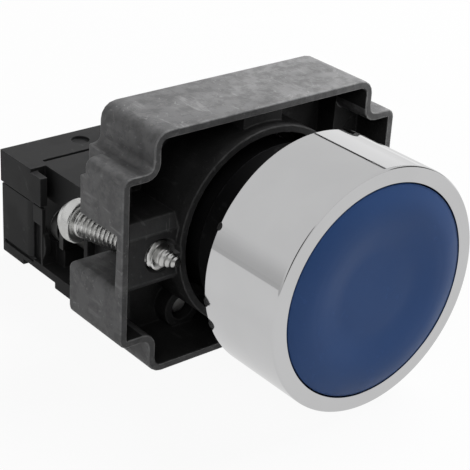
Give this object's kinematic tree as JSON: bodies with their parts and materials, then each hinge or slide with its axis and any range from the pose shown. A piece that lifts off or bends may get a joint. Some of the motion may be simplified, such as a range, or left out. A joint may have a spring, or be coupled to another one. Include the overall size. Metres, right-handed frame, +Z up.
{
  "type": "panel push button",
  "caption": "Flush panel push button with a round plated bezel and blue cap, a cast clamp base behind the panel and a screw-terminal contact block.",
  "frame": {"origin": "centre of the panel hole on the plane of the bezel's rear face, which is the front of the panel", "axes": "+X to the right seen from the front, +Y into the panel along the button axis, +Z up; the button faces -Y"},
  "size_m": [0.0402, 0.0547, 0.03],
  "materials": {
    "plated_ring": "bright plated metal",
    "blue_plastic": "satin moulded, dark blue",
    "black_plastic": "fine moulded texture, black",
    "green_plastic": "moulded, green",
    "rubber": "matt black",
    "zinc_casting": "dark grey die casting, tumbled",
    "plated_steel": "bright zinc plated",
    "spring_steel": "drawn wire",
    "brass": "stamped strip"
  },
  "bodies": {
    "root": {"bezel": "plated_ring", "panel_gasket": "rubber", "head_body": "black_plastic", "stem_seal": "rubber", "return_spring": "spring_steel", "mounting_base": "zinc_casting", "clamp_screw_left": "plated_steel", "clamp_screw_right": "plated_steel", "contact_housing": "black_plastic", "contact_cover": "black_plastic", "plunger_spring": "spring_steel", "fixed_contact_left": "brass", "fixed_contact_right": "brass", "clamp_plate_left": "plated_steel", "clamp_plate_right": "plated_steel", "terminal_screw_left": "plated_steel", "terminal_screw_right": "plated_steel", "block_screw_left": "plated_steel", "block_screw_right": "plated_steel"},
    "button": {"push_cap": "blue_plastic", "cap_stem": "black_plastic", "retaining_ring": "spring_steel", "pusher": "black_plastic"},
    "contact_plunger": {"contact_plunger": "green_plastic", "bridge_spring": "spring_steel"},
    "contact_bridge": {"contact_bridge": "brass"}
  },
  "joints": [
    {"name": "push", "type": "slide", "parent": "root", "child": "button", "axis": [0, 1, 0], "range_m": [0, 0.0043], "stiffness_N_per_m": 600, "springref_m": -0.006, "deforming": ["return_spring"]},
    {"name": "plunger_slide", "type": "slide", "parent": "root", "child": "contact_plunger", "axis": [0, 1, 0], "range_m": [0, 0.0043], "deforming": ["plunger_spring"]},
    {"name": "bridge_slide", "type": "slide", "parent": "root", "child": "contact_bridge", "axis": [0, 1, 0], "range_m": [0, 0.0026], "deforming": ["bridge_spring"]}
  ],
  "couplings": [
    {"joint": "plunger_slide", "follows": "push", "ratio": 1},
    {"joint": "bridge_slide", "follows": "push", "ratio": 0.6046}
  ]
}
